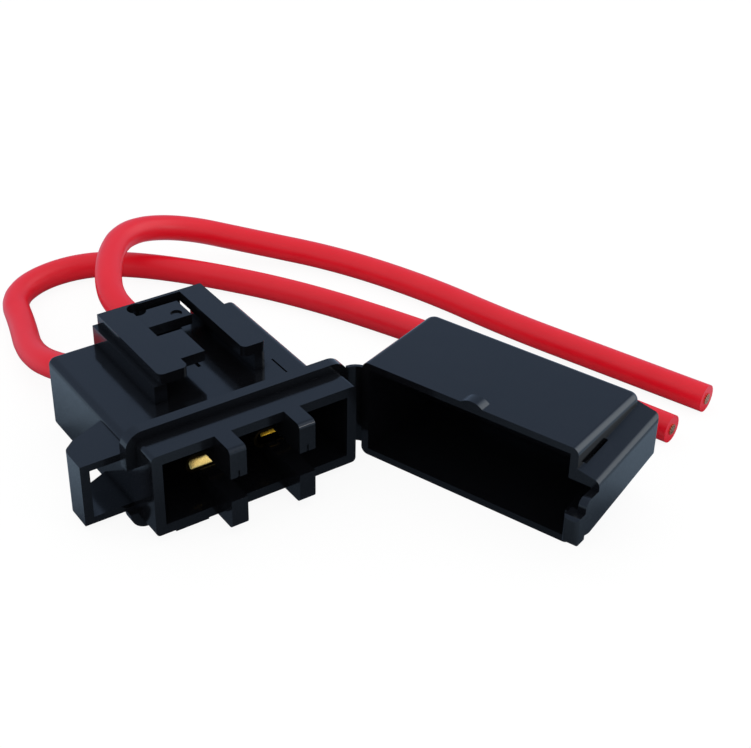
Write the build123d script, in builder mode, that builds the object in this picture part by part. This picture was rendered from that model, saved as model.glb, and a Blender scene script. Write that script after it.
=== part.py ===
# Inline holder for one standard blade fuse, with its cover open and two wire leads.
# Millimetres. X runs along the flange, Y from the fuse mouth to the wire end, Z is up.
# The origin is in the middle of the flange's foot, on the surface that the holder lies on.
import os
from math import cos, pi, radians, sin, tan

from build123d import *

# Blade fuse that goes into the holder
blade_pitch = 9.8
blade_thickness = 0.65
fuse_waist = 3.2
fuse_play = 0.1

# Flange, the rim plate that the open cover hangs on
flange_side_rim = 1.4
flange_rim = 1.25
flange_thickness = 1.6
flange_corner = 2.4

# Socket, the shallow box in front of the flange that the cover closes over
socket_width = 29.2
socket_height = 11.9
socket_reach = 4.1
socket_wall = 1.4
socket_corner = 0.6
foot_rib_width = 4.6
foot_rib_height = 0.2
foot_rib_depth = 1.2

# Prongs, the two pairs of ribs that grip the fuse's waist
prong_width = 2.3
prong_reach = 3.7
prong_corner = 0.7
prong_mark_width = 0.3
prong_mark_height = 1.0
prong_mark_depth = 0.15

# Body, the box behind the flange
body_width = 28.6
body_length = 25.3
body_shoulder = 1.1
body_foot_edge = 0.8
body_end_edge = 0.6
top_line_place = 10.7
top_line_setback = 5.0
top_line_length = 3.8
top_line_width = 0.25
top_line_depth = 0.2
inner_bay_depth = 5.3
inner_bay_roof = 1.5

# Terminals, rolled brass receptacles with crimped tails
terminal_sheet = 0.4
terminal_headroom = 1.275
terminal_play = 0.05
terminal_slot_wall = 2.5
receptacle_width = 6.0
receptacle_length = 8.4
receptacle_front = -0.4
receptacle_seam = 0.7
neck_width = 3.0
neck_length = 2.0
crimp_split = 0.8
crimp_play = 0.02
wire_crimp_length = 3.4
crimp_gap = 0.9
jacket_crimp_length = 2.6

# Leads
lead_diameter = 4.0
strand_diameter = 1.9
strand_stub = 0.5
wire_bay_room = 1.1
wire_bay_lean = 5.6

# Mounting rails on top of the body
rail_height = 4.2
rail_left = -6.6
rail_right = 9.1
rail_foot = 0.8
rail_wall = 1.8
rail_setback = 7.4
rail_corner = 0.8
left_lip = 4.2
right_lip = 3.5
lip_thickness = 1.5
stop_thickness = 0.5
bridge_drop = 0.4
bridge_thickness = 1.5
bridge_length = 4.7
bridge_setback = 1.5
bridge_side_gap = 1.2
bridge_edge = 0.5
core_hole_radius = 1.3
core_hole_inset = 0.9
dimple_radius = 0.8
dimple_depth = 0.25
dimple_inset = 2.8
dimple_setback = 1.4
snap_length = 6.4
snap_setback = 2.1
snap_reach = 3.5
slit_length = 2.8
slit_width = 0.5
slit_depth = 0.4
slit_inset = 3.9
slit_setback = 4.9

# Latch loop on the body's left side
loop_reach = 6.5
loop_setback = 1.4
loop_depth = 4.2
loop_bottom = 0.9
loop_height = 9.0
loop_wall = 1.0
loop_side_wall = 1.25
loop_corner = 1.4
loop_brace_reach = 4.9
loop_brace_depth = 5.6
loop_brace_length = 7.8
notch_foot = 1.6
notch_height = 6.8

# Cover
cover_wall = 1.1
cover_skin = 1.0
cover_play = 0.25
latch_play = 0.5
cover_depth = 15.8
cover_corner = 1.4
cover_edge = 1.0
rim_gap = 0.2
latch_reach = 3.15
latch_above = 3.75
latch_below = 3.35
latch_fall = 1.0
latch_rise = 1.5
latch_taper = 2.5
latch_depth = 15.4
latch_edge = 0.9
groove_width = 0.35
groove_depth = 0.3
groove_setback = 1.5
groove_length = 5.3
tongue_reach = 2.9
tongue_top = 2.5
tongue_rise = 0.9
tongue_corner = 1.0
hook_reach = 4.6
hook_height = 4.0
hook_raise = 0.65
hook_lip = 1.0
hook_seat = 0.3
hook_corner = 0.5
tab_length = 3.2
tab_shift = 0.7
tab_rise = 0.6
tab_seat = 1.7

# Living hinge between the flange's right end and the cover
open_angle = 109.5
hinge_out = 1.05
hinge_ahead = 0.28
strap_thickness = 0.5
strap_height = 11.8
strap_inset = 0.35

# Bends of the leads: each takes this share of the shorter run beside it
bend_share = 0.45

# Places that follow from the sizes above
flange_width = socket_width + 2 * flange_side_rim
flange_height = socket_height + 2 * flange_rim
flange_front = -flange_thickness / 2
flange_back = flange_thickness / 2
mid_height = flange_height / 2
socket_front = flange_front - socket_reach
socket_top = mid_height + socket_height / 2
socket_foot = mid_height - socket_height / 2
prong_front = socket_front - prong_reach
prong_gap = fuse_waist + 2 * fuse_play
body_back = flange_back + body_length
body_left = -body_width / 2
terminal_places = {"left": -blade_pitch / 2, "right": blade_pitch / 2}
inner_bay_back = flange_back + inner_bay_depth
wire_bay_front = inner_bay_back + terminal_slot_wall
wire_crimp_radius = strand_diameter / 2 + crimp_play
receptacle_height = 2 * (wire_crimp_radius + terminal_sheet)
terminal_top = mid_height + blade_thickness / 2 + terminal_sheet
terminal_height = terminal_top - receptacle_height / 2
body_height = terminal_top + terminal_headroom + inner_bay_roof
receptacle_back = receptacle_front + receptacle_length
wire_crimp_front = receptacle_back + neck_length
wire_crimp_back = wire_crimp_front + wire_crimp_length
jacket_crimp_front = wire_crimp_back + crimp_gap
jacket_crimp_radius = lead_diameter / 2 + crimp_play
wire_bay_height = lead_diameter + 2 * wire_bay_room
wire_bay_side = lead_diameter / 2 + wire_bay_room
rail_top = body_height + rail_height
lip_foot = rail_top - lip_thickness
rail_front = flange_back + rail_setback
channel_left = rail_left + left_lip
channel_right = rail_right - right_lip
stop_front = body_back - stop_thickness
bridge_top = rail_top - bridge_drop
bridge_back = body_back - bridge_setback
bridge_front = bridge_back - bridge_length
bridge_right = channel_right - bridge_side_gap
loop_front = flange_back + loop_setback
loop_left = body_left - loop_reach
loop_middle = loop_bottom + loop_height / 2
hinge_x = flange_width / 2 + hinge_out
hinge_y = flange_front - hinge_ahead
cover_start = hinge_x - socket_width / 2 - cover_play - cover_wall
cover_length = socket_width + cover_play + latch_play + 2 * cover_wall
cover_height = socket_height + 2 * (cover_play + cover_skin)
cover_rim = rim_gap - hinge_ahead
cover_end = cover_start + cover_length
latch_end = cover_end + latch_reach

# Route of each lead, from its crimp to its cut end
lead_left_route = [
    (terminal_places["left"], jacket_crimp_front, terminal_height),
    (terminal_places["left"], 22.5, terminal_height),
    (-10.5, 30.5, 5.0),
    (-11.5, 40.0, 2.8),
    (-8.5, 50.0, 2.0),
    (-7.0, 57.0, 2.0),
    (-1.5, 61.0, 2.0),
    (6.0, 61.5, 2.0),
    (12.5, 58.3, 2.0),
    (21.0, 49.4, 2.0),
    (31.0, 35.1, 2.0),
    (39.0, 18.2, 2.0),
    (47.0, -1.9, 2.0),
    (54.0, -23.0, 2.0),
]
lead_right_route = [
    (terminal_places["right"], jacket_crimp_front, terminal_height),
    (terminal_places["right"], 24.0, terminal_height),
    (1.0, 38.0, 7.4),
    (5.0, 48.5, 8.5),
    (12.0, 57.0, 8.5),
    (22.0, 58.0, 6.2),
    (32.5, 52.0, 3.0),
    (41.9, 41.2, 2.0),
    (48.4, 26.0, 2.0),
    (52.4, 10.7, 2.0),
    (57.6, -4.0, 2.0),
    (63.3, -20.2, 2.0),
]


def facing_mouth(y):
    """Sketch plane at depth y: its x is X, its y is Z, and it looks towards the mouth."""
    return Plane(origin=(0, y, 0), x_dir=(1, 0, 0), z_dir=(0, -1, 0))


def middle(first, last):
    return (first + last) / 2


# Housing: body, flange, socket, rails and latch loop are one moulding
with BuildPart() as housing:
    # Body with round shoulders and a softer foot
    with BuildSketch(facing_mouth(body_back)):
        with Locations((0, body_height / 2)):
            Rectangle(body_width, body_height)
        fillet(vertices().group_by(Axis.Y)[-1], body_shoulder)
        fillet(vertices().group_by(Axis.Y)[0], body_foot_edge)
    extrude(amount=body_length)
    fillet(faces().sort_by(Axis.Y)[-1].edges(), body_end_edge)

    # Flange
    with BuildSketch(facing_mouth(flange_back)):
        with Locations((0, mid_height)):
            RectangleRounded(flange_width, flange_height, flange_corner)
    extrude(amount=flange_thickness)

    # Socket box in front of the flange, with a small rib under its left chamber
    with BuildSketch(facing_mouth(flange_front)):
        with Locations((0, mid_height)):
            RectangleRounded(socket_width, socket_height, socket_corner)
    extrude(amount=socket_reach)
    foot_rib_x = middle(terminal_places["left"] - prong_width / 2, socket_wall - socket_width / 2)
    with BuildSketch(facing_mouth(socket_front)):
        with Locations((foot_rib_x, socket_foot)):
            Rectangle(foot_rib_width, 2 * foot_rib_height)
    extrude(amount=-foot_rib_depth)

    # Notch in the flange's left edge, which lets the cover's hook pass into the latch loop
    with BuildSketch(facing_mouth(flange_back)):
        with Locations((-flange_width / 2, loop_bottom + notch_foot + notch_height / 2)):
            Rectangle(2 * flange_side_rim, notch_height)
    extrude(amount=flange_thickness, mode=Mode.SUBTRACT)

    # Cavity through the socket and the flange, then a lower bay inside the body
    inner_width = socket_width - 2 * socket_wall
    inner_foot = socket_foot + socket_wall
    with BuildSketch(facing_mouth(socket_front)):
        with Locations((0, mid_height)):
            Rectangle(inner_width, socket_height - 2 * socket_wall)
    extrude(amount=-(socket_reach + flange_thickness / 2), mode=Mode.SUBTRACT)
    with BuildSketch(facing_mouth(0)):
        with Locations((0, middle(inner_foot, body_height - inner_bay_roof))):
            Rectangle(inner_width, body_height - inner_bay_roof - inner_foot)
    extrude(amount=-inner_bay_back, mode=Mode.SUBTRACT)

    # Prongs stand out past the socket's rim, above and below the fuse's waist
    prong_foot = mid_height + prong_gap / 2
    prong_spots = [
        (x, mid_height + side * (middle(prong_foot, socket_top) - mid_height))
        for x in terminal_places.values()
        for side in (-1, 1)
    ]
    prong_back = receptacle_front - terminal_play
    with BuildSketch(facing_mouth(prong_back)):
        with Locations(*prong_spots):
            Rectangle(prong_width, socket_top - prong_foot)
    extrude(amount=prong_back - prong_front)
    tips = faces().filter_by(Axis.Y).sort_by(Axis.Y)[0:4].edges().filter_by(Axis.X).group_by(Axis.Z)
    fillet(tips[0] + tips[-1], prong_corner)
    with BuildSketch(facing_mouth(prong_front)):
        with Locations(*[(x, prong_foot + prong_mark_height / 2) for x in terminal_places.values()]):
            Rectangle(prong_mark_width, prong_mark_height)
    extrude(amount=-prong_mark_depth, mode=Mode.SUBTRACT)

    # Slots for the terminals, and a bay behind each for its crimp and the bend of its lead
    slot_width = receptacle_width + 2 * terminal_play
    slot_height = receptacle_height + 2 * terminal_play
    with BuildSketch(facing_mouth(inner_bay_back)):
        with Locations(*[(x, terminal_height) for x in terminal_places.values()]):
            Rectangle(slot_width, slot_height)
    extrude(amount=-terminal_slot_wall, mode=Mode.SUBTRACT)
    with BuildSketch(facing_mouth(wire_bay_front)):
        bay_spots = [
            (x + middle(-wire_bay_lean, wire_bay_side), terminal_height)
            for x in terminal_places.values()
        ]
        with Locations(*bay_spots):
            Rectangle(wire_bay_lean + wire_bay_side, wire_bay_height)
    extrude(amount=wire_bay_front - body_back, mode=Mode.SUBTRACT)

    # Mounting rails with lips that face each other over a channel
    rail_sink = body_height - inner_bay_roof / 2
    left_foot = rail_left - rail_foot
    with BuildSketch(facing_mouth(body_back)):
        with BuildLine():
            Polyline(
                (left_foot, rail_sink),
                (left_foot, lip_foot),
                (rail_left, lip_foot),
                (rail_left, rail_top),
                (channel_left, rail_top),
                (channel_left, lip_foot),
                (left_foot + rail_wall, lip_foot),
                (left_foot + rail_wall, rail_sink),
                close=True,
            )
        make_face()
        with BuildLine():
            Polyline(
                (rail_right, rail_sink),
                (rail_right, rail_top),
                (channel_right, rail_top),
                (channel_right, lip_foot),
                (rail_right - rail_wall, lip_foot),
                (rail_right - rail_wall, rail_sink),
                close=True,
            )
        make_face()
    extrude(amount=body_back - rail_front)
    rail_fronts = edges().filter_by(Axis.Z).filter_by_position(Axis.Y, rail_front - 0.01, rail_front + 0.01)
    fillet(rail_fronts.filter_by(lambda e: e.bounding_box().max.Z > rail_top - 0.01), rail_corner)

    # Stop wall, bridge and snap tongue between the rails
    with BuildSketch(Plane.XY.offset(rail_sink)):
        with Locations((middle(channel_left, channel_right), middle(stop_front, body_back))):
            Rectangle(channel_right - channel_left, stop_thickness)
    extrude(amount=rail_top - rail_sink)
    bridge_left = channel_left - left_lip / 2
    with BuildSketch(Plane.XY.offset(bridge_top - bridge_thickness)):
        with Locations((middle(bridge_left, bridge_right), middle(bridge_front, bridge_back))):
            Rectangle(bridge_right - bridge_left, bridge_length)
    extrude(amount=bridge_thickness)
    bridge_rear = edges().filter_by(Axis.X).filter_by_position(Axis.Y, bridge_back - 0.01, bridge_back + 0.01)
    fillet(bridge_rear.sort_by(Axis.Z)[-1], bridge_edge)
    with BuildSketch(Plane.XY.offset(lip_foot)):
        with Locations((channel_left + snap_reach / 2, rail_front + snap_setback + snap_length / 2)):
            Rectangle(snap_reach, snap_length)
    extrude(amount=lip_thickness)

    # Half-round core hole in the bridge's rear edge, and a shallow dimple beside it
    with BuildSketch(Plane.XY.offset(rail_top)):
        with Locations((channel_left + core_hole_inset, bridge_back)):
            Circle(core_hole_radius)
    extrude(amount=-lip_thickness - bridge_drop, mode=Mode.SUBTRACT)
    with BuildSketch(Plane.XY.offset(bridge_top)):
        with Locations((channel_right - dimple_inset, bridge_front + dimple_setback)):
            Circle(dimple_radius)
    extrude(amount=-dimple_depth, mode=Mode.SUBTRACT)

    # Slit in the channel's floor, and a scored line on the body's top beside the right rail
    with BuildSketch(Plane.XY.offset(body_height)):
        with Locations((channel_right - slit_inset, rail_front + slit_setback + slit_length / 2)):
            Rectangle(slit_width, slit_length)
    extrude(amount=-slit_depth, mode=Mode.SUBTRACT)
    with BuildSketch(Plane.XY.offset(body_height)):
        with Locations((top_line_place, flange_back + top_line_setback + top_line_length / 2)):
            Rectangle(top_line_width, top_line_length)
    extrude(amount=-top_line_depth, mode=Mode.SUBTRACT)

    # Latch loop: a braced bracket, open from front to back
    with BuildSketch(Plane.XY.offset(loop_bottom)):
        with BuildLine():
            Polyline(
                (body_left + body_shoulder, loop_front),
                (loop_left, loop_front),
                (loop_left, loop_front + loop_depth),
                (body_left - loop_brace_reach, loop_front + loop_brace_depth),
                (body_left, loop_front + loop_brace_length),
                (body_left + body_shoulder, loop_front + loop_brace_length),
                close=True,
            )
        make_face()
        fillet(vertices().sort_by(Axis.X)[0:2].sort_by(Axis.Y)[-1], loop_corner)
    extrude(amount=loop_height)
    window_width = loop_reach - loop_side_wall
    with BuildSketch(facing_mouth(loop_front)):
        with Locations((body_left - window_width / 2, loop_middle)):
            Rectangle(window_width, loop_height - 2 * loop_wall)
    extrude(amount=-loop_brace_length, mode=Mode.SUBTRACT)

# Cover, drawn in its own frame: x along its length from the hinge, y into its depth
cover_turn = radians(180 + open_angle)
cover_x = Vector(cos(cover_turn), sin(cover_turn), 0)
cover_y = Vector(-sin(cover_turn), cos(cover_turn), 0)
hinge_point = Vector(hinge_x, hinge_y, 0)
cover_foot = mid_height - cover_height / 2
cover_top = mid_height + cover_height / 2


def cover_floor(z):
    """Sketch plane at height z in the cover's frame."""
    return Plane(origin=hinge_point + Vector(0, 0, z), x_dir=cover_x, z_dir=(0, 0, 1))


def across_cover(x):
    """Sketch plane across the cover at x: its x goes into the depth, its y is up."""
    return Plane(origin=hinge_point + cover_x * x, x_dir=cover_y, z_dir=cover_x)


def seen(e):
    """Whether an edge of the cover lies behind its rim."""
    return (e.center() - hinge_point).dot(cover_y) > cover_rim + 0.1


latch_foot = mid_height - latch_below
latch_top = mid_height + latch_above
latch_back = cover_rim + latch_depth
with BuildPart() as cover:
    # Deep box over the socket, rounded at its closed end
    with BuildSketch(cover_floor(cover_foot)):
        with Locations((middle(cover_start, cover_end), cover_rim + cover_depth / 2)):
            Rectangle(cover_length, cover_depth)
        fillet(vertices().group_by(Axis.Y)[-1], cover_corner)
    extrude(amount=cover_height)
    fillet(faces().filter_by(Axis.Z).edges().filter_by(seen), cover_edge)

    # Lower latch end, tapered towards the closed side, its top falling towards the outer end
    for place, fall in ((cover_end - cover_corner, 0), (latch_end, latch_fall)):
        with BuildSketch(across_cover(place)):
            with BuildLine():
                Polyline(
                    (cover_rim, latch_foot),
                    (cover_rim, latch_top + latch_fall - fall),
                    (latch_back, latch_top + latch_rise + latch_fall - fall),
                    (latch_back, latch_foot + latch_taper),
                    close=True,
                )
            make_face()
    loft(ruled=True)

    # Tongue that carries the latch end's outer wall on past the rim
    tongue_front = cover_rim - tongue_reach
    with BuildSketch(across_cover(latch_end - cover_wall)):
        with BuildLine():
            Polyline(
                (cover_rim, latch_foot),
                (cover_rim, mid_height + tongue_top),
                (tongue_front, mid_height + tongue_top),
                (tongue_front, latch_foot + tongue_rise),
                close=True,
            )
        make_face()
        fillet(vertices().group_by(Axis.Y)[-1].sort_by(Axis.X)[0], tongue_corner)
    extrude(amount=cover_wall)
    outer = faces().sort_by(lambda f: (f.center() - hinge_point).dot(cover_x))[-1].edges()
    fillet(outer.filter_by(seen), latch_edge)

    # Groove along the foot of the box where the latch end starts
    groove_top = latch_top + latch_fall + latch_rise
    with BuildSketch(cover_floor(groove_top)):
        with Locations((cover_end + groove_width / 2, cover_rim + groove_setback + groove_length / 2)):
            Rectangle(groove_width, groove_length)
    extrude(amount=-groove_depth - latch_rise - latch_fall / 5, mode=Mode.SUBTRACT)

    # Inside of the box and of the latch end
    with BuildSketch(cover_floor(cover_foot + cover_skin)):
        with Locations((middle(cover_start, cover_end), cover_rim + (cover_depth - cover_wall) / 2)):
            Rectangle(cover_length - 2 * cover_wall, cover_depth - cover_wall)
    extrude(amount=cover_height - 2 * cover_skin, mode=Mode.SUBTRACT)
    with BuildSketch(across_cover(cover_end - 2 * cover_wall)):
        with BuildLine():
            Polyline(
                (cover_rim, latch_foot + cover_wall),
                (cover_rim, latch_top - cover_wall),
                (latch_back - cover_wall, latch_top + latch_rise - cover_wall),
                (latch_back - cover_wall, latch_foot + cover_wall + latch_taper),
                close=True,
            )
        make_face()
    extrude(amount=latch_reach + cover_wall, mode=Mode.SUBTRACT)

    # Thick hook at the tongue's end, which reaches into the latch loop
    hook_start = cover_rim - hook_reach
    hook_length = hook_reach - tongue_reach + hook_seat
    with BuildSketch(cover_floor(loop_middle + hook_raise - hook_height / 2)):
        with Locations((latch_end - (cover_wall + hook_lip) / 2, hook_start + hook_length / 2)):
            Rectangle(cover_wall + hook_lip, hook_length)
    extrude(amount=hook_height)
    hook_front = faces().sort_by(lambda f: (f.center() - hinge_point).dot(cover_y))[0]
    fillet(hook_front.edges(), hook_corner)

    # Low rounded tab on the rim's top
    tab_middle = middle(cover_start, cover_end) + tab_shift
    tab_radius = (tab_length**2 / 4 + tab_rise**2) / (2 * tab_rise)
    with BuildSketch(Plane(origin=hinge_point + cover_y * cover_rim, x_dir=-cover_x, z_dir=cover_y)):
        with Locations((-tab_middle, cover_top + tab_rise - tab_radius)):
            Circle(tab_radius)
        with Locations((-tab_middle, cover_top - tab_radius)):
            Rectangle(4 * tab_radius, 2 * tab_radius, mode=Mode.SUBTRACT)
    extrude(amount=tab_seat)

# Living hinge: a thin web that leaves the flange's end and curves round to the cover's end
strap_turn = 180 - open_angle
strap_x = flange_width / 2
strap_y = flange_front + strap_inset
cover_corner_point = hinge_point + cover_x * cover_start + cover_y * cover_rim
strap_radius = (cover_corner_point.X - strap_x) / tan(radians(strap_turn)) - (cover_corner_point.Y - strap_y)
with BuildPart() as hinge_strap:
    with BuildSketch(Plane.XY.offset(mid_height - strap_height / 2)):
        with BuildLine():
            half = strap_thickness / 2
            far = JernArc((strap_x, strap_y + half), (1, 0), strap_radius + half, -strap_turn)
            near = JernArc((strap_x, strap_y - half), (1, 0), strap_radius - half, -strap_turn)
            Line(far @ 0, near @ 0)
            Line(far @ 1, near @ 1)
        make_face()
    extrude(amount=strap_height)

parts = {"housing": housing.part, "cover": cover.part, "hinge_strap": hinge_strap.part}

# Terminals: a rolled receptacle, a neck, and a crimp on the strands and one on the jacket
for side, x in terminal_places.items():
    with BuildPart() as terminal:
        with BuildSketch(facing_mouth(receptacle_back)):
            with Locations((x, terminal_height)):
                SlotOverall(receptacle_width, receptacle_height)
                inner_height = receptacle_height - 2 * terminal_sheet
                SlotOverall(receptacle_width - 2 * terminal_sheet, inner_height, mode=Mode.SUBTRACT)
            with Locations((x, terminal_height - receptacle_height / 2)):
                Rectangle(receptacle_seam, receptacle_height, mode=Mode.SUBTRACT)
        extrude(amount=receptacle_length)
        with BuildSketch(facing_mouth(wire_crimp_front + terminal_sheet)):
            with Locations((x, terminal_height - wire_crimp_radius - terminal_sheet / 2)):
                Rectangle(neck_width, terminal_sheet)
        extrude(amount=neck_length + 2 * terminal_sheet)
        crimps = (
            (wire_crimp_front, wire_crimp_length, wire_crimp_radius),
            (jacket_crimp_front, jacket_crimp_length, jacket_crimp_radius),
        )
        for front, length, radius in crimps:
            with BuildSketch(facing_mouth(front + length)):
                with Locations((x, terminal_height)):
                    Circle(radius + terminal_sheet)
                    Circle(radius, mode=Mode.SUBTRACT)
                with Locations((x, terminal_height + radius)):
                    Rectangle(crimp_split, 2 * radius, mode=Mode.SUBTRACT)
            extrude(amount=length)
        step_foot = terminal_height - jacket_crimp_radius - terminal_sheet
        step_top = terminal_height - wire_crimp_radius
        with BuildSketch(facing_mouth(jacket_crimp_front)):
            with Locations((x, middle(step_foot, step_top))):
                Rectangle(2 * terminal_sheet, step_top - step_foot)
        extrude(amount=crimp_gap)
    parts[f"terminal_{side}"] = terminal.part

# Bared strands between the jacket and the crimp of each lead
for side, x in terminal_places.items():
    with BuildPart() as strands:
        with BuildSketch(facing_mouth(jacket_crimp_front)):
            with Locations((x, terminal_height)):
                Circle(strand_diameter / 2)
        extrude(amount=jacket_crimp_front - wire_crimp_front + strand_stub)
    parts[f"strands_{side}"] = strands.part


def bend_radii(route):
    """Radius at each corner of a route, from the shorter run beside it and its turn."""
    radii = []
    for before, corner, after in zip(route, route[1:], route[2:]):
        first = Vector(*corner) - Vector(*before)
        second = Vector(*after) - Vector(*corner)
        turn = radians(first.get_angle(second))
        radii.append(bend_share * min(first.length, second.length) / tan(turn / 2))
    return radii


# Leads: plain round cords from the crimps to their cut ends
for side, route in {"left": lead_left_route, "right": lead_right_route}.items():
    radii = bend_radii(route)
    with BuildPart() as lead:
        with BuildLine() as path:
            centreline = FilletPolyline(*route, radius=radii)
        with BuildSketch(Plane(origin=centreline @ 0, z_dir=centreline % 0)):
            Circle(lead_diameter / 2)
        sweep()
    expected = pi * lead_diameter**2 / 4 * centreline.length
    print(f"lead_{side}: length {centreline.length:.1f}, bends {[round(r, 1) for r in radii]}")
    print(f"lead_{side}: volume over section times length {lead.part.volume / expected:.4f}")
    parts[f"lead_{side}"] = lead.part

os.makedirs("parts", exist_ok=True)
for name, part in parts.items():
    part.label = name
    export_step(part, f"parts/{name}.step")
    print(name, len(part.solids()), round(part.volume, 1))
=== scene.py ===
# Inline holder for one blade fuse, lying open on a pale studio floor with its two red leads.
# Metres, in the frame of the CAD model: X along the flange, +Y towards the leads, Z up.
from math import cos, pi, radians, sin

import bmesh
import bpy
from mathutils import Matrix, Vector


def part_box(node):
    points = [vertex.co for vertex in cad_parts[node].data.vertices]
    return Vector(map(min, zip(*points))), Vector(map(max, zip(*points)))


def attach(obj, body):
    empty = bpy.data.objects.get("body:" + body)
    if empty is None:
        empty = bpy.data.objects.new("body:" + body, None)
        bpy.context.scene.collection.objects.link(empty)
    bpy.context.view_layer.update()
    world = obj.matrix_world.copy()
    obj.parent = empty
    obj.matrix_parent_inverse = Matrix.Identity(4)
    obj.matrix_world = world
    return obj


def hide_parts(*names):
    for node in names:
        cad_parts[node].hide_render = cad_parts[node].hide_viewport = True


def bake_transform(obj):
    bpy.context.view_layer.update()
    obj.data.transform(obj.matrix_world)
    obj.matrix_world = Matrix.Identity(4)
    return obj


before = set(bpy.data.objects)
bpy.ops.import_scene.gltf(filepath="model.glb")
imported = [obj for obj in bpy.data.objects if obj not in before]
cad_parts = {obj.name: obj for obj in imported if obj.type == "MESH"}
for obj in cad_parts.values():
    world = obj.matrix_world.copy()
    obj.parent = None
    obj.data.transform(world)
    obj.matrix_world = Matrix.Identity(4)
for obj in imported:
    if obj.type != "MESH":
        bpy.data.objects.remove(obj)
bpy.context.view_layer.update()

MM = 0.001

# Camera, fitted to the photograph
PHOTO_WIDTH = 751
CAMERA_PLACE = (-76.18 * MM, -139.20 * MM, 120.47 * MM)
CAMERA_AZIMUTH = radians(-34.90)
CAMERA_ELEVATION = radians(33.07)
CAMERA_ROLL = radians(1.19)
CAMERA_NEAR = 5 * MM
CAMERA_FAR = 20.0
FOCAL_PIXELS = 1526.07
SENSOR_WIDTH = 36.0

# Leads: their routes in mm, and the copper that shows at their cut ends
LEAD_DIAMETER = 4.0 * MM
LEAD_RADIUS = LEAD_DIAMETER / 2
LEAD_LEFT_ROUTE = [
    (-4.9, 14.3, 6.555),
    (-4.9, 22.5, 6.555),
    (-10.5, 30.5, 5.0),
    (-11.5, 40.0, 2.8),
    (-8.5, 50.0, 2.0),
    (-7.0, 57.0, 2.0),
    (-1.5, 61.0, 2.0),
    (6.0, 61.5, 2.0),
    (12.5, 58.3, 2.0),
    (21.0, 49.4, 2.0),
    (31.0, 35.1, 2.0),
    (39.0, 18.2, 2.0),
    (47.0, -1.9, 2.0),
    (54.0, -23.0, 2.0),
]
LEAD_RIGHT_ROUTE = [
    (4.9, 14.3, 6.555),
    (4.9, 24.0, 6.555),
    (1.0, 38.0, 7.4),
    (5.0, 48.5, 8.5),
    (12.0, 57.0, 8.5),
    (22.0, 58.0, 6.2),
    (32.5, 52.0, 3.0),
    (41.9, 41.2, 2.0),
    (48.4, 26.0, 2.0),
    (52.4, 10.7, 2.0),
    (57.6, -4.0, 2.0),
    (63.3, -20.2, 2.0),
]
LEAD_STEPS = 24
LEAD_SIDES = 8
CORE_RADIUS = 0.8 * MM
CORE_STICKS_OUT = 0.18 * MM
CORE_SUNK = 0.6 * MM
CORE_TWIST = 0.3
CRIMPED_TWIST = 0.9
STRAND_SIDES = 10
STRAND_STEP = 0.5 * MM

# Contact tongue in each terminal's mouth, in mm: middle and width across, and its line from the lip back
TONGUES = {
    "left": {
        "middle": -5.3,
        "width": 4.0,
        "line": [
            (-0.40, 5.72), (-0.32, 5.86), (0.24, 6.76), (0.45, 6.88), (1.4, 6.8), (4.5, 6.1), (6.8, 5.7),
        ],
    },
    "right": {
        "middle": 4.65,
        "width": 2.9,
        "line": [
            (-0.02, 6.52), (0.03, 6.6), (0.36, 7.0), (0.6, 7.1), (1.4, 7.0), (4.5, 6.2), (6.8, 5.7),
        ],
    },
}
TONGUE_ACROSS = (-1, -0.86, 0, 0.86, 1)
TONGUE_THICKNESS = 0.25 * MM
TONGUE_SMOOTHING = 2

# Roundings of the moulded and the sheet edges
MOULD_EDGE = 0.16 * MM
SHEET_EDGE = 0.05 * MM
EDGE_SEGMENTS = 3
SAME_PLACE = 0.001 * MM
FLAT_ANGLE = radians(0.4)
SHARP_ANGLE = radians(28)
FLAT_FACE_WEIGHT = 80

# Painted shade in the creases of the moulding: there the gloss is dimmed by ambient occlusion
CREASE_SHADE_REACH = 1.6 * MM
CREASE_SHADE_SAMPLES = 6

# Room: even white light from all round, and in what is mirrored a cool room with one soft window
ROOM_LIGHT = "#FFFFFF"
ROOM_STRENGTH = 1.1
MIRRORED_ROOM = "#A3BCE0"
MIRRORED_STRENGTH = 0.75
MIRRORED_WINDOW = "#DCE8F4"
WINDOW_STRENGTH = 2.6
WINDOW_SIDE = (0.83, -0.28, 0.48)
WINDOW_FROM = 0.76
WINDOW_TO = 0.99

# Small card of light in front, which the brass and the front lips pick up
CARD_AZIMUTH = radians(-58)
CARD_ELEVATION = radians(23)
CARD_DISTANCE = 0.6
CARD_WIDTH = 0.14
CARD_HEIGHT = 0.10
CARD_POWER = 0.22
CARD_AIM = (20 * MM, 0, 0)

# White paper floor: mostly bright of itself to the camera, the rest takes the shadow
FLOOR = 3.0
SEEN_WHITE = 0.85
PAPER_GLOW = 1.08

# What is mirrored of the paper: dark where the holder keeps the light from behind off it
LIT_SIDE = (0.40, 0.81, 0.43)
SHADE_REACH = 70 * MM
SHADE_SAMPLES = 8
SHADE_FROM = 0.62
SHADE_TO = 1.0
MIRRORED_SHADE = "#4A5664"
MIRRORED_PAPER = "#B8D2EC"


def link(thing):
    """Puts a new object into the scene."""
    bpy.context.scene.collection.objects.link(thing)
    return thing


def colour(hex_code):
    """An sRGB hex code as linear red, green, blue and alpha."""
    levels = [int(hex_code[i : i + 2], 16) / 255 for i in (1, 3, 5)]
    return [c / 12.92 if c <= 0.04045 else ((c + 0.055) / 1.055) ** 2.4 for c in levels] + [1.0]


def add(tree, kind, inputs=None, **settings):
    """Adds a node with its settings, and sets or links its inputs by name."""
    node = tree.nodes.new(kind)
    for name, value in settings.items():
        setattr(node, name, value)
    for name, value in (inputs or {}).items():
        if isinstance(value, bpy.types.NodeSocket):
            tree.links.new(value, node.inputs[name])
        else:
            node.inputs[name].default_value = value
    return node


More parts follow.
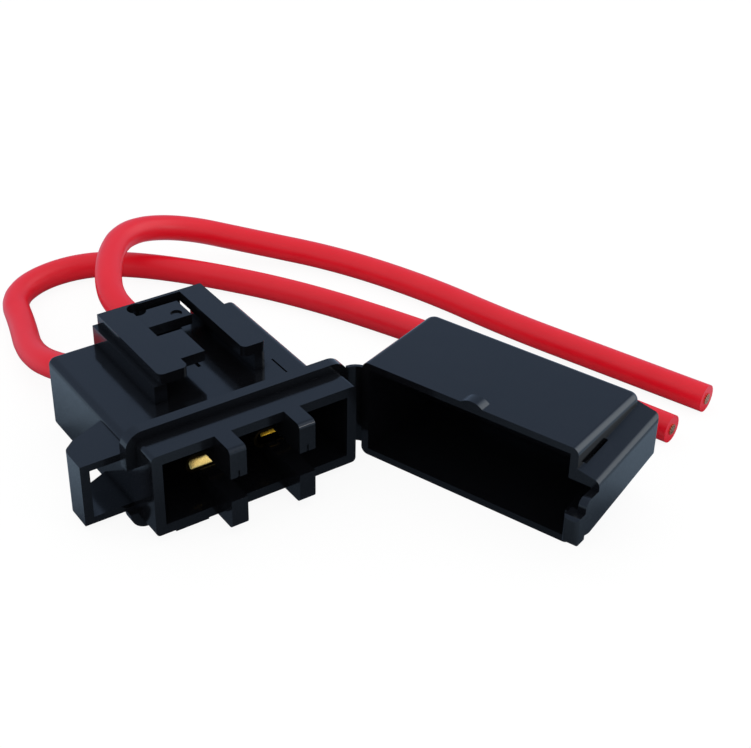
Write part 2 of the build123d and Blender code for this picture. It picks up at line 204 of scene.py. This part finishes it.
def new_material(name):
    """An empty node material and its tree."""
    material = bpy.data.materials.new(name)
    material.use_nodes = True
    material.node_tree.nodes.clear()
    return material, material.node_tree


def place_camera():
    """The camera at the photograph's place, looking along its azimuth and elevation, with its slight roll."""
    data = bpy.data.cameras.new("camera")
    data.sensor_width = SENSOR_WIDTH
    data.sensor_fit = "HORIZONTAL"
    data.lens = FOCAL_PIXELS / PHOTO_WIDTH * SENSOR_WIDTH
    data.clip_start = CAMERA_NEAR
    data.clip_end = CAMERA_FAR
    camera = link(bpy.data.objects.new("camera", data))
    a, e, roll = CAMERA_AZIMUTH, CAMERA_ELEVATION, CAMERA_ROLL
    back = Vector((sin(a) * cos(e), -cos(a) * cos(e), sin(e)))
    right = Vector((cos(a), sin(a), 0))
    up = back.cross(right)
    rolled_right = cos(roll) * right + sin(roll) * up
    rolled_up = -sin(roll) * right + cos(roll) * up
    turn = Matrix((rolled_right, rolled_up, back)).transposed()
    camera.matrix_world = Matrix.Translation(CAMERA_PLACE) @ turn.to_4x4()
    bpy.context.scene.camera = camera


place_camera()


# Materials


def moulded_nylon():
    """Moulded black nylon: a tight gloss over near black, wavering where it sank, its gloss dimmed in the
    creases as painted shade.
    """
    material, tree = new_material("moulded_nylon")
    place = add(tree, "ShaderNodeTexCoord").outputs["Object"]
    haze = add(tree, "ShaderNodeTexNoise", {"Vector": place, "Scale": 1 / (3 * MM), "Detail": 5.0})
    grain = add(tree, "ShaderNodeTexNoise", {"Vector": place, "Scale": 1 / (0.3 * MM), "Detail": 3.0})
    sink = add(tree, "ShaderNodeTexNoise", {"Vector": place, "Scale": 1 / (7 * MM), "Detail": 1.0})
    roughness = add(
        tree, "ShaderNodeMapRange",
        {"Value": haze.outputs["Fac"], "From Min": 0.3, "From Max": 0.75, "To Min": 0.10, "To Max": 0.19},
    )
    fine = add(
        tree, "ShaderNodeBump",
        {"Height": grain.outputs["Fac"], "Strength": 0.08, "Distance": 0.02 * MM},
    )
    wavy = add(
        tree, "ShaderNodeBump",
        {
            "Height": sink.outputs["Fac"],
            "Strength": 0.2,
            "Distance": 0.1 * MM,
            "Normal": fine.outputs["Normal"],
        },
    )
    # Painted shade: ambient occlusion dims the gloss in the creases and inner corners
    crease_shade = add(
        tree, "ShaderNodeAmbientOcclusion",
        {"Distance": CREASE_SHADE_REACH},
        samples=CREASE_SHADE_SAMPLES,
        only_local=True,
    )
    gloss = add(
        tree, "ShaderNodeMapRange",
        {"Value": crease_shade.outputs["AO"], "From Min": 0.35, "From Max": 0.85, "To Min": 0.08, "To Max": 0.5},
    )
    plastic = add(
        tree, "ShaderNodeBsdfPrincipled",
        {
            "Base Color": colour("#0A0B0E"),
            "Roughness": roughness.outputs["Result"],
            "IOR": 1.53,
            "Specular IOR Level": gloss.outputs["Result"],
            "Normal": wavy.outputs["Normal"],
        },
    )
    add(tree, "ShaderNodeOutputMaterial", {"Surface": plastic.outputs["BSDF"]})
    return material


def extruded_pvc():
    """Extruded red PVC jacket: saturated, half glossy, with a faint cloud in the dye and a fine skin."""
    material, tree = new_material("extruded_pvc")
    place = add(tree, "ShaderNodeTexCoord").outputs["Object"]
    cloud = add(tree, "ShaderNodeTexNoise", {"Vector": place, "Scale": 1 / (5 * MM), "Detail": 4.0})
    skin = add(tree, "ShaderNodeTexNoise", {"Vector": place, "Scale": 1 / (0.25 * MM), "Detail": 2.0})
    tint = add(
        tree, "ShaderNodeMix",
        {"Factor": cloud.outputs["Fac"], "A": colour("#DA021C"), "B": colour("#E20824")},
        data_type="RGBA",
    )
    roughness = add(
        tree, "ShaderNodeMapRange",
        {"Value": cloud.outputs["Fac"], "From Min": 0.3, "From Max": 0.7, "To Min": 0.34, "To Max": 0.44},
    )
    bump = add(
        tree, "ShaderNodeBump",
        {"Height": skin.outputs["Fac"], "Strength": 0.1, "Distance": 0.03 * MM},
    )
    jacket = add(
        tree, "ShaderNodeBsdfPrincipled",
        {
            "Base Color": tint.outputs["Result"],
            "Roughness": roughness.outputs["Result"],
            "IOR": 1.53,
            "Specular IOR Level": 0.4,
            "Normal": bump.outputs["Normal"],
        },
    )
    add(tree, "ShaderNodeOutputMaterial", {"Surface": jacket.outputs["BSDF"]})
    return material


def bare_metal(name, light, dark, roughest):
    """Bare rolled or drawn metal: it mirrors the room in its own colour, broken by spots of tarnish."""
    material, tree = new_material(name)
    place = add(tree, "ShaderNodeTexCoord").outputs["Object"]
    tarnish = add(tree, "ShaderNodeTexNoise", {"Vector": place, "Scale": 1 / (1.2 * MM), "Detail": 4.0})
    tint = add(
        tree, "ShaderNodeMix",
        {"Factor": tarnish.outputs["Fac"], "A": colour(light), "B": colour(dark)},
        data_type="RGBA",
    )
    roughness = add(
        tree, "ShaderNodeMapRange",
        {
            "Value": tarnish.outputs["Fac"],
            "From Min": 0.3,
            "From Max": 0.7,
            "To Min": 0.2,
            "To Max": roughest,
        },
    )
    metal = add(
        tree, "ShaderNodeBsdfPrincipled",
        {"Base Color": tint.outputs["Result"], "Metallic": 1.0, "Roughness": roughness.outputs["Result"]},
    )
    add(tree, "ShaderNodeOutputMaterial", {"Surface": metal.outputs["BSDF"]})
    return material


NYLON = moulded_nylon()
PVC = extruded_pvc()
# The left tongue is bright brass; the right one is a darker, browner copy of it as painted shade, and the
# receptacles round them are near black brass as painted shade
BRASS = bare_metal("rolled_brass", "#F2CF7C", "#DDB45E", 0.32)
# A darker, browner copy of the brass: painted shade for the right tongue
BRASS_IN_PAINTED_SHADE = bare_metal("brass_in_painted_shade", "#C8982C", "#96701A", 0.4)
# Near black brass: painted shade for the receptacles deep in the dark mouths
BRASS_IN_DEEP_PAINTED_SHADE = bare_metal("brass_in_deep_painted_shade", "#46361A", "#2A2010", 0.5)
COPPER = bare_metal("drawn_copper", "#EBA878", "#C98254", 0.38)


# Pieces made from the CAD model's own solids


def dressed(node, finish, edge):
    """The CAD piece in its real finish, with its crisp edges rounded."""
    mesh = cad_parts[node].data.copy()
    bm = bmesh.new()
    bm.from_mesh(mesh)
    bmesh.ops.remove_doubles(bm, verts=bm.verts, dist=SAME_PLACE)
    bmesh.ops.dissolve_limit(bm, angle_limit=FLAT_ANGLE, verts=bm.verts, edges=bm.edges)
    bm.to_mesh(mesh)
    bm.free()
    mesh.shade_smooth()
    mesh.set_sharp_from_angle(angle=SHARP_ANGLE)
    mesh.materials.clear()
    mesh.materials.append(finish)
    piece = link(bpy.data.objects.new(f"{node}_dressed", mesh))
    bevel = piece.modifiers.new("rounded edges", "BEVEL")
    bevel.width = edge
    bevel.segments = EDGE_SEGMENTS
    bevel.limit_method = "ANGLE"
    bevel.angle_limit = SHARP_ANGLE
    evened = piece.modifiers.new("flat faces stay flat", "WEIGHTED_NORMAL")
    evened.weight = FLAT_FACE_WEIGHT
    evened.keep_sharp = True
    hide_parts(node)
    return piece


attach(dressed("housing", NYLON, MOULD_EDGE), "holder")
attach(dressed("cover", NYLON, MOULD_EDGE), "cover")
# The terminals' receptacles take the near black brass, painted shade
for side in ("left", "right"):
    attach(dressed(f"terminal_{side}", BRASS_IN_DEEP_PAINTED_SHADE, SHEET_EDGE), "holder")

# The hinge's thin web, from the flange's end to the cover's corner, with its placing baked into its mesh
web = dressed("hinge_strap", NYLON, SHEET_EDGE)
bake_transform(web)


# Contact tongues


def contact_tongue(side, finish):
    """A terminal's spring contact, one bent strip that meets the blade with a sloping lip."""
    tongue = TONGUES[side]
    places = [tongue["middle"] + across * tongue["width"] / 2 for across in TONGUE_ACROSS]
    bm = bmesh.new()
    rows = [[bm.verts.new(Vector((x, y, z)) * MM) for x in places] for y, z in tongue["line"]]
    for near, far in zip(rows, rows[1:]):
        for k in range(len(places) - 1):
            bm.faces.new((near[k], near[k + 1], far[k + 1], far[k]))
    mesh = bpy.data.meshes.new(f"contact_tongue_{side}")
    bm.to_mesh(mesh)
    bm.free()
    mesh.shade_smooth()
    mesh.materials.append(finish)
    strip = link(bpy.data.objects.new(f"contact_tongue_{side}", mesh))
    sheet = strip.modifiers.new("sheet", "SOLIDIFY")
    sheet.thickness = TONGUE_THICKNESS
    sheet.offset = -1.0
    bends = strip.modifiers.new("bends", "SUBSURF")
    bends.levels = TONGUE_SMOOTHING
    bends.render_levels = TONGUE_SMOOTHING
    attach(strip, "holder")


# The right tongue takes the darker copy of the brass, painted shade
for side, finish in (("left", BRASS), ("right", BRASS_IN_PAINTED_SHADE)):
    contact_tongue(side, finish)


# Stranded copper


def strand_bundle(name, start, along, length, radius, twist):
    """Nineteen bare strands laid up round one another, one in the middle, then six, then twelve."""
    strand = radius / 5
    middles = [(0.0, 0.0)]
    for ring, count in ((1, 6), (2, 12)):
        middles += [(ring * 2 * strand, i * 2 * pi / count) for i in range(count)]
    corners = [k * 2 * pi / STRAND_SIDES for k in range(STRAND_SIDES)]
    outline = [Vector((cos(corner), sin(corner), 0)) for corner in corners]
    steps = max(2, round(length / STRAND_STEP))
    bm = bmesh.new()
    for reach, angle in middles:
        rings = []
        for step in range(steps + 1):
            share = step / steps
            turned = angle + twist * share
            centre = Vector((reach * cos(turned), reach * sin(turned), length * share))
            rings.append([bm.verts.new(centre + outwards * strand) for outwards in outline])
        for near, far in zip(rings, rings[1:]):
            for k in range(STRAND_SIDES):
                after = (k + 1) % STRAND_SIDES
                bm.faces.new((near[k], near[after], far[after], far[k]))
        bm.faces.new(rings[0][::-1])
        bm.faces.new(rings[-1])
    turn = Vector(along).to_track_quat("Z", "Y").to_matrix().to_4x4()
    bm.transform(Matrix.Translation(start) @ turn)
    mesh = bpy.data.meshes.new(name)
    bm.to_mesh(mesh)
    bm.free()
    mesh.shade_smooth()
    mesh.set_sharp_from_angle(angle=SHARP_ANGLE)
    mesh.materials.append(COPPER)
    bundle = link(bpy.data.objects.new(name, mesh))
    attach(bundle, "holder")
    return bundle


for side in ("left", "right"):
    low, high = (Vector(corner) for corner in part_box(f"strands_{side}"))
    middle = (low + high) / 2
    radius = (high.x - low.x) / 2
    crimped = strand_bundle(
        f"crimped_strands_{side}",
        start=(middle.x, low.y, middle.z),
        along=(0, 1, 0),
        length=high.y - low.y,
        radius=radius,
        twist=CRIMPED_TWIST,
    )
    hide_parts(f"strands_{side}")


# Leads


def lead(side, route):
    """One lead as a smooth round cord through its listed points, its copper showing at the cut end."""
    data = bpy.data.curves.new(f"lead_{side}_cord", "CURVE")
    data.dimensions = "3D"
    spline = data.splines.new("NURBS")
    spline.points.add(len(route) - 1)
    for point, place in zip(spline.points, route):
        point.co = [c * MM for c in place] + [1.0]
    spline.order_u = 3
    spline.use_endpoint_u = True
    spline.resolution_u = LEAD_STEPS
    data.bevel_depth = LEAD_RADIUS
    data.bevel_resolution = LEAD_SIDES
    data.use_fill_caps = True
    data.materials.append(PVC)
    cord = link(bpy.data.objects.new(f"lead_{side}_cord", data))
    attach(cord, "holder")
    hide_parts(f"lead_{side}")
    end = Vector(route[-1]) * MM
    outwards = (end - Vector(route[-2]) * MM).normalized()
    core = strand_bundle(
        f"cut_core_{side}",
        start=end - outwards * CORE_SUNK,
        along=outwards,
        length=CORE_SUNK + CORE_STICKS_OUT,
        radius=CORE_RADIUS,
        twist=CORE_TWIST,
    )


lead("left", LEAD_LEFT_ROUTE)
lead("right", LEAD_RIGHT_ROUTE)


# Studio


def paper_floor():
    """White paper, white to the camera; what the plastic mirrors of it is shaded away from the light."""
    material, tree = new_material("white_paper")
    path = add(tree, "ShaderNodeLightPath")
    fibre = add(tree, "ShaderNodeTexNoise", {"Scale": 1 / (2 * MM), "Detail": 3.0})
    tint = add(
        tree, "ShaderNodeMix",
        {"Factor": fibre.outputs["Fac"], "A": colour("#C4C4C4"), "B": colour("#CCCCCC")},
        data_type="RGBA",
    )
    lit_side = add(tree, "ShaderNodeCombineXYZ", dict(zip("XYZ", LIT_SIDE)))
    open_share = add(
        tree, "ShaderNodeAmbientOcclusion",
        {"Distance": SHADE_REACH, "Normal": lit_side.outputs["Vector"]},
        samples=SHADE_SAMPLES,
    )
    lit = add(
        tree, "ShaderNodeMapRange",
        {"Value": open_share.outputs["AO"], "From Min": SHADE_FROM, "From Max": SHADE_TO},
    )
    in_mirror = add(
        tree, "ShaderNodeMix",
        {"Factor": lit.outputs["Result"], "A": colour(MIRRORED_SHADE), "B": colour(MIRRORED_PAPER)},
        data_type="RGBA",
    )
    mirrored = add(
        tree, "ShaderNodeMath",
        {0: path.outputs["Is Glossy Ray"], 1: path.outputs["Is Transmission Ray"]},
        operation="MAXIMUM",
    )
    seen = add(
        tree, "ShaderNodeMath", {0: path.outputs["Is Camera Ray"], 1: SEEN_WHITE}, operation="MULTIPLY"
    )
    share = add(
        tree, "ShaderNodeMath", {0: mirrored.outputs["Value"], 1: seen.outputs["Value"]}, operation="MAXIMUM"
    )
    glow_colour = add(
        tree, "ShaderNodeMix",
        {
            "Factor": mirrored.outputs["Value"],
            "A": (PAPER_GLOW, PAPER_GLOW, PAPER_GLOW, 1.0),
            "B": in_mirror.outputs["Result"],
        },
        data_type="RGBA",
    )
    paper = add(tree, "ShaderNodeBsdfDiffuse", {"Color": tint.outputs["Result"]})
    glow = add(tree, "ShaderNodeEmission", {"Color": glow_colour.outputs["Result"], "Strength": 1.0})
    both = add(
        tree, "ShaderNodeMixShader",
        {0: share.outputs["Value"], 1: paper.outputs["BSDF"], 2: glow.outputs["Emission"]},
    )
    add(tree, "ShaderNodeOutputMaterial", {"Surface": both.outputs["Shader"]})
    mesh = bpy.data.meshes.new("floor")
    corners = [(-FLOOR, -FLOOR, 0), (FLOOR, -FLOOR, 0), (FLOOR, FLOOR, 0), (-FLOOR, FLOOR, 0)]
    mesh.from_pydata(corners, [], [(0, 1, 2, 3)])
    mesh.materials.append(material)
    link(bpy.data.objects.new("floor", mesh))


def room():
    """White behind the object, white light on it, and a cool room with one soft window in what it mirrors."""
    world = bpy.data.worlds.new("studio")
    world.use_nodes = True
    tree = world.node_tree
    tree.nodes.clear()
    path = add(tree, "ShaderNodeLightPath")
    even_light = add(
        tree, "ShaderNodeBackground", {"Color": colour(ROOM_LIGHT), "Strength": ROOM_STRENGTH}
    )
    towards = add(tree, "ShaderNodeTexCoord").outputs["Generated"]
    facing = add(tree, "ShaderNodeVectorMath", {0: towards, 1: WINDOW_SIDE}, operation="DOT_PRODUCT")
    window = add(
        tree, "ShaderNodeMapRange",
        {"Value": facing.outputs["Value"], "From Min": WINDOW_FROM, "From Max": WINDOW_TO},
        interpolation_type="SMOOTHSTEP",
    )
    tint = add(
        tree, "ShaderNodeMix",
        {"Factor": window.outputs["Result"], "A": colour(MIRRORED_ROOM), "B": colour(MIRRORED_WINDOW)},
        data_type="RGBA",
    )
    strength = add(
        tree, "ShaderNodeMapRange",
        {"Value": window.outputs["Result"], "To Min": MIRRORED_STRENGTH, "To Max": WINDOW_STRENGTH},
    )
    mirrored_room = add(
        tree, "ShaderNodeBackground",
        {"Color": tint.outputs["Result"], "Strength": strength.outputs["Result"]},
    )
    white = add(tree, "ShaderNodeBackground", {"Color": (1, 1, 1, 1), "Strength": 1.0})
    lit = add(
        tree, "ShaderNodeMixShader",
        {
            0: path.outputs["Is Glossy Ray"],
            1: even_light.outputs["Background"],
            2: mirrored_room.outputs["Background"],
        },
    )
    seen = add(
        tree, "ShaderNodeMixShader",
        {0: path.outputs["Is Camera Ray"], 1: lit.outputs["Shader"], 2: white.outputs["Background"]},
    )
    add(tree, "ShaderNodeOutputWorld", {"Surface": seen.outputs["Shader"]})
    bpy.context.scene.world = world


def front_card():
    a, e = CARD_AZIMUTH, CARD_ELEVATION
    towards = Vector((cos(a) * cos(e), sin(a) * cos(e), sin(e)))
    data = bpy.data.lights.new("front_card", "AREA")
    data.shape = "RECTANGLE"
    data.size = CARD_WIDTH
    data.size_y = CARD_HEIGHT
    data.energy = CARD_POWER
    card = link(bpy.data.objects.new("front_card", data))
    card.location = towards * CARD_DISTANCE + Vector(CARD_AIM)
    card.rotation_euler = towards.to_track_quat("Z", "Y").to_euler()


bpy.context.scene.view_settings.view_transform = "Standard"
paper_floor()
room()
front_card()
